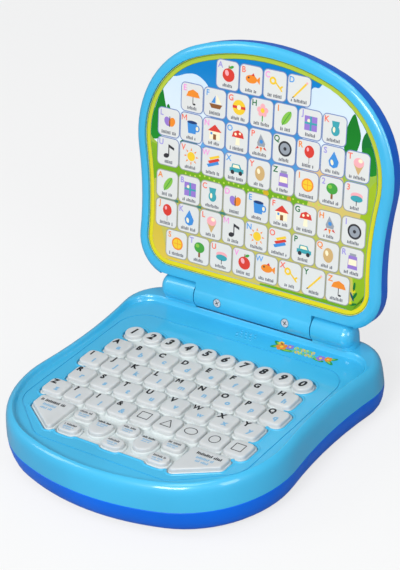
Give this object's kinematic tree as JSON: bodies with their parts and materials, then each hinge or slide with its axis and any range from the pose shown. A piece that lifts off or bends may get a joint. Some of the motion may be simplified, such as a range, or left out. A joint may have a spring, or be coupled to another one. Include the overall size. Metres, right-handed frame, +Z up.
{
  "type": "toy laptop computer",
  "caption": "Open toy laptop computer with a sky-blue and royal-blue case, white rubber keys and a picture-alphabet card in its rounded lid.",
  "frame": {"origin": "on the table, under the middle of the whole toy's box with the lid open", "axes": "+X towards the right edge, +Y towards the hinge, +Z up"},
  "size_m": [0.2038, 0.237, 0.2252],
  "materials": {
    "sky_plastic": "glossy",
    "royal_plastic": "glossy",
    "keypad_rubber": "satin",
    "key_rubber": "satin",
    "foot_rubber": "matte",
    "card": "glossy",
    "board": "matte",
    "dark_plastic": "matte",
    "cell": "satin",
    "steel": "satin"
  },
  "bodies": {
    "base": {"base_top_case": "sky_plastic", "base_bottom_case": "royal_plastic", "keypad_sheet": "keypad_rubber", "circuit_board": "board", "speaker": "dark_plastic", "battery_door": "royal_plastic", "batteries": "cell", "battery_contacts": "steel", "base_screws": "steel", "rubber_feet": "foot_rubber", "hinge_pins": "steel"},
    "lid": {"lid_bezel": "sky_plastic", "lid_back_cover": "royal_plastic", "picture_card": "card", "lid_screws": "steel"},
    "function_keys_body": {"function_keys": "key_rubber"},
    "number_key_0_body": {"number_key_0": "key_rubber"},
    "number_key_1_body": {"number_key_1": "key_rubber"},
    "number_key_2_body": {"number_key_2": "key_rubber"},
    "number_key_3_body": {"number_key_3": "key_rubber"},
    "number_key_4_body": {"number_key_4": "key_rubber"},
    "number_key_5_body": {"number_key_5": "key_rubber"},
    "number_key_6_body": {"number_key_6": "key_rubber"},
    "number_key_7_body": {"number_key_7": "key_rubber"},
    "number_key_8_body": {"number_key_8": "key_rubber"},
    "number_key_9_body": {"number_key_9": "key_rubber"},
    "key_row1_1_body": {"key_row1_1": "key_rubber"},
    "key_row1_2_body": {"key_row1_2": "key_rubber"},
    "key_row1_3_body": {"key_row1_3": "key_rubber"},
    "key_row1_4_body": {"key_row1_4": "key_rubber"},
    "key_row1_5_body": {"key_row1_5": "key_rubber"},
    "key_row1_6_body": {"key_row1_6": "key_rubber"},
    "key_row1_7_body": {"key_row1_7": "key_rubber"},
    "key_row1_8_body": {"key_row1_8": "key_rubber"},
    "key_row2_1_body": {"key_row2_1": "key_rubber"},
    "key_row2_2_body": {"key_row2_2": "key_rubber"},
    "key_row2_3_body": {"key_row2_3": "key_rubber"},
    "key_row2_4_body": {"key_row2_4": "key_rubber"},
    "key_row2_5_body": {"key_row2_5": "key_rubber"},
    "key_row2_6_body": {"key_row2_6": "key_rubber"},
    "key_row2_7_body": {"key_row2_7": "key_rubber"},
    "key_row2_8_body": {"key_row2_8": "key_rubber"},
    "key_row2_9_body": {"key_row2_9": "key_rubber"},
    "key_row3_1_body": {"key_row3_1": "key_rubber"},
    "key_row3_2_body": {"key_row3_2": "key_rubber"},
    "key_row3_3_body": {"key_row3_3": "key_rubber"},
    "key_row3_4_body": {"key_row3_4": "key_rubber"},
    "key_row3_5_body": {"key_row3_5": "key_rubber"},
    "key_row3_6_body": {"key_row3_6": "key_rubber"},
    "key_row3_7_body": {"key_row3_7": "key_rubber"},
    "key_row3_8_body": {"key_row3_8": "key_rubber"},
    "key_row4_1_body": {"key_row4_1": "key_rubber"},
    "key_row4_2_body": {"key_row4_2": "key_rubber"},
    "key_row4_3_body": {"key_row4_3": "key_rubber"},
    "key_row4_4_body": {"key_row4_4": "key_rubber"},
    "key_row4_5_body": {"key_row4_5": "key_rubber"},
    "key_row4_6_body": {"key_row4_6": "key_rubber"},
    "key_row4_7_body": {"key_row4_7": "key_rubber"},
    "key_row4_8_body": {"key_row4_8": "key_rubber"},
    "key_row4_9_body": {"key_row4_9": "key_rubber"}
  },
  "joints": [
    {"name": "lid_hinge", "type": "hinge", "parent": "base", "child": "lid", "pos_m": [0, 0.076, 0.046], "axis": [1, 0, 0], "range_deg": [0, 101.5]},
    {"name": "function_keys_press", "type": "slide", "parent": "base", "child": "function_keys_body", "axis": [0, 0, -1], "range_m": [0, 0.001], "stiffness_N_per_m": 1500, "springref_m": -0.0005},
    {"name": "number_key_0_press", "type": "slide", "parent": "base", "child": "number_key_0_body", "axis": [0, 0, -1], "range_m": [0, 0.001], "stiffness_N_per_m": 500, "springref_m": -0.0005},
    {"name": "number_key_1_press", "type": "slide", "parent": "base", "child": "number_key_1_body", "axis": [0, 0, -1], "range_m": [0, 0.001], "stiffness_N_per_m": 500, "springref_m": -0.0005},
    {"name": "number_key_2_press", "type": "slide", "parent": "base", "child": "number_key_2_body", "axis": [0, 0, -1], "range_m": [0, 0.001], "stiffness_N_per_m": 500, "springref_m": -0.0005},
    {"name": "number_key_3_press", "type": "slide", "parent": "base", "child": "number_key_3_body", "axis": [0, 0, -1], "range_m": [0, 0.001], "stiffness_N_per_m": 500, "springref_m": -0.0005},
    {"name": "number_key_4_press", "type": "slide", "parent": "base", "child": "number_key_4_body", "axis": [0, 0, -1], "range_m": [0, 0.001], "stiffness_N_per_m": 500, "springref_m": -0.0005},
    {"name": "number_key_5_press", "type": "slide", "parent": "base", "child": "number_key_5_body", "axis": [0, 0, -1], "range_m": [0, 0.001], "stiffness_N_per_m": 500, "springref_m": -0.0005},
    {"name": "number_key_6_press", "type": "slide", "parent": "base", "child": "number_key_6_body", "axis": [0, 0, -1], "range_m": [0, 0.001], "stiffness_N_per_m": 500, "springref_m": -0.0005},
    {"name": "number_key_7_press", "type": "slide", "parent": "base", "child": "number_key_7_body", "axis": [0, 0, -1], "range_m": [0, 0.001], "stiffness_N_per_m": 500, "springref_m": -0.0005},
    {"name": "number_key_8_press", "type": "slide", "parent": "base", "child": "number_key_8_body", "axis": [0, 0, -1], "range_m": [0, 0.001], "stiffness_N_per_m": 500, "springref_m": -0.0005},
    {"name": "number_key_9_press", "type": "slide", "parent": "base", "child": "number_key_9_body", "axis": [0, 0, -1], "range_m": [0, 0.001], "stiffness_N_per_m": 500, "springref_m": -0.0005},
    {"name": "key_row1_1_press", "type": "slide", "parent": "base", "child": "key_row1_1_body", "axis": [0, 0, -1], "range_m": [0, 0.001], "stiffness_N_per_m": 500, "springref_m": -0.0005},
    {"name": "key_row1_2_press", "type": "slide", "parent": "base", "child": "key_row1_2_body", "axis": [0, 0, -1], "range_m": [0, 0.001], "stiffness_N_per_m": 500, "springref_m": -0.0005},
    {"name": "key_row1_3_press", "type": "slide", "parent": "base", "child": "key_row1_3_body", "axis": [0, 0, -1], "range_m": [0, 0.001], "stiffness_N_per_m": 500, "springref_m": -0.0005},
    {"name": "key_row1_4_press", "type": "slide", "parent": "base", "child": "key_row1_4_body", "axis": [0, 0, -1], "range_m": [0, 0.001], "stiffness_N_per_m": 500, "springref_m": -0.0005},
    {"name": "key_row1_5_press", "type": "slide", "parent": "base", "child": "key_row1_5_body", "axis": [0, 0, -1], "range_m": [0, 0.001], "stiffness_N_per_m": 500, "springref_m": -0.0005},
    {"name": "key_row1_6_press", "type": "slide", "parent": "base", "child": "key_row1_6_body", "axis": [0, 0, -1], "range_m": [0, 0.001], "stiffness_N_per_m": 500, "springref_m": -0.0005},
    {"name": "key_row1_7_press", "type": "slide", "parent": "base", "child": "key_row1_7_body", "axis": [0, 0, -1], "range_m": [0, 0.001], "stiffness_N_per_m": 500, "springref_m": -0.0005},
    {"name": "key_row1_8_press", "type": "slide", "parent": "base", "child": "key_row1_8_body", "axis": [0, 0, -1], "range_m": [0, 0.001], "stiffness_N_per_m": 500, "springref_m": -0.0005},
    {"name": "key_row2_1_press", "type": "slide", "parent": "base", "child": "key_row2_1_body", "axis": [0, 0, -1], "range_m": [0, 0.001], "stiffness_N_per_m": 500, "springref_m": -0.0005},
    {"name": "key_row2_2_press", "type": "slide", "parent": "base", "child": "key_row2_2_body", "axis": [0, 0, -1], "range_m": [0, 0.001], "stiffness_N_per_m": 500, "springref_m": -0.0005},
    {"name": "key_row2_3_press", "type": "slide", "parent": "base", "child": "key_row2_3_body", "axis": [0, 0, -1], "range_m": [0, 0.001], "stiffness_N_per_m": 500, "springref_m": -0.0005},
    {"name": "key_row2_4_press", "type": "slide", "parent": "base", "child": "key_row2_4_body", "axis": [0, 0, -1], "range_m": [0, 0.001], "stiffness_N_per_m": 500, "springref_m": -0.0005},
    {"name": "key_row2_5_press", "type": "slide", "parent": "base", "child": "key_row2_5_body", "axis": [0, 0, -1], "range_m": [0, 0.001], "stiffness_N_per_m": 500, "springref_m": -0.0005},
    {"name": "key_row2_6_press", "type": "slide", "parent": "base", "child": "key_row2_6_body", "axis": [0, 0, -1], "range_m": [0, 0.001], "stiffness_N_per_m": 500, "springref_m": -0.0005},
    {"name": "key_row2_7_press", "type": "slide", "parent": "base", "child": "key_row2_7_body", "axis": [0, 0, -1], "range_m": [0, 0.001], "stiffness_N_per_m": 500, "springref_m": -0.0005},
    {"name": "key_row2_8_press", "type": "slide", "parent": "base", "child": "key_row2_8_body", "axis": [0, 0, -1], "range_m": [0, 0.001], "stiffness_N_per_m": 500, "springref_m": -0.0005},
    {"name": "key_row2_9_press", "type": "slide", "parent": "base", "child": "key_row2_9_body", "axis": [0, 0, -1], "range_m": [0, 0.001], "stiffness_N_per_m": 500, "springref_m": -0.0005},
    {"name": "key_row3_1_press", "type": "slide", "parent": "base", "child": "key_row3_1_body", "axis": [0, 0, -1], "range_m": [0, 0.001], "stiffness_N_per_m": 500, "springref_m": -0.0005},
    {"name": "key_row3_2_press", "type": "slide", "parent": "base", "child": "key_row3_2_body", "axis": [0, 0, -1], "range_m": [0, 0.001], "stiffness_N_per_m": 500, "springref_m": -0.0005},
    {"name": "key_row3_3_press", "type": "slide", "parent": "base", "child": "key_row3_3_body", "axis": [0, 0, -1], "range_m": [0, 0.001], "stiffness_N_per_m": 500, "springref_m": -0.0005},
    {"name": "key_row3_4_press", "type": "slide", "parent": "base", "child": "key_row3_4_body", "axis": [0, 0, -1], "range_m": [0, 0.001], "stiffness_N_per_m": 500, "springref_m": -0.0005},
    {"name": "key_row3_5_press", "type": "slide", "parent": "base", "child": "key_row3_5_body", "axis": [0, 0, -1], "range_m": [0, 0.001], "stiffness_N_per_m": 500, "springref_m": -0.0005},
    {"name": "key_row3_6_press", "type": "slide", "parent": "base", "child": "key_row3_6_body", "axis": [0, 0, -1], "range_m": [0, 0.001], "stiffness_N_per_m": 500, "springref_m": -0.0005},
    {"name": "key_row3_7_press", "type": "slide", "parent": "base", "child": "key_row3_7_body", "axis": [0, 0, -1], "range_m": [0, 0.001], "stiffness_N_per_m": 500, "springref_m": -0.0005},
    {"name": "key_row3_8_press", "type": "slide", "parent": "base", "child": "key_row3_8_body", "axis": [0, 0, -1], "range_m": [0, 0.001], "stiffness_N_per_m": 500, "springref_m": -0.0005},
    {"name": "key_row4_1_press", "type": "slide", "parent": "base", "child": "key_row4_1_body", "axis": [0, 0, -1], "range_m": [0, 0.001], "stiffness_N_per_m": 500, "springref_m": -0.0005},
    {"name": "key_row4_2_press", "type": "slide", "parent": "base", "child": "key_row4_2_body", "axis": [0, 0, -1], "range_m": [0, 0.001], "stiffness_N_per_m": 500, "springref_m": -0.0005},
    {"name": "key_row4_3_press", "type": "slide", "parent": "base", "child": "key_row4_3_body", "axis": [0, 0, -1], "range_m": [0, 0.001], "stiffness_N_per_m": 500, "springref_m": -0.0005},
    {"name": "key_row4_4_press", "type": "slide", "parent": "base", "child": "key_row4_4_body", "axis": [0, 0, -1], "range_m": [0, 0.001], "stiffness_N_per_m": 500, "springref_m": -0.0005},
    {"name": "key_row4_5_press", "type": "slide", "parent": "base", "child": "key_row4_5_body", "axis": [0, 0, -1], "range_m": [0, 0.001], "stiffness_N_per_m": 500, "springref_m": -0.0005},
    {"name": "key_row4_6_press", "type": "slide", "parent": "base", "child": "key_row4_6_body", "axis": [0, 0, -1], "range_m": [0, 0.001], "stiffness_N_per_m": 500, "springref_m": -0.0005},
    {"name": "key_row4_7_press", "type": "slide", "parent": "base", "child": "key_row4_7_body", "axis": [0, 0, -1], "range_m": [0, 0.001], "stiffness_N_per_m": 500, "springref_m": -0.0005},
    {"name": "key_row4_8_press", "type": "slide", "parent": "base", "child": "key_row4_8_body", "axis": [0, 0, -1], "range_m": [0, 0.001], "stiffness_N_per_m": 500, "springref_m": -0.0005},
    {"name": "key_row4_9_press", "type": "slide", "parent": "base", "child": "key_row4_9_body", "axis": [0, 0, -1], "range_m": [0, 0.001], "stiffness_N_per_m": 500, "springref_m": -0.0005}
  ]
}
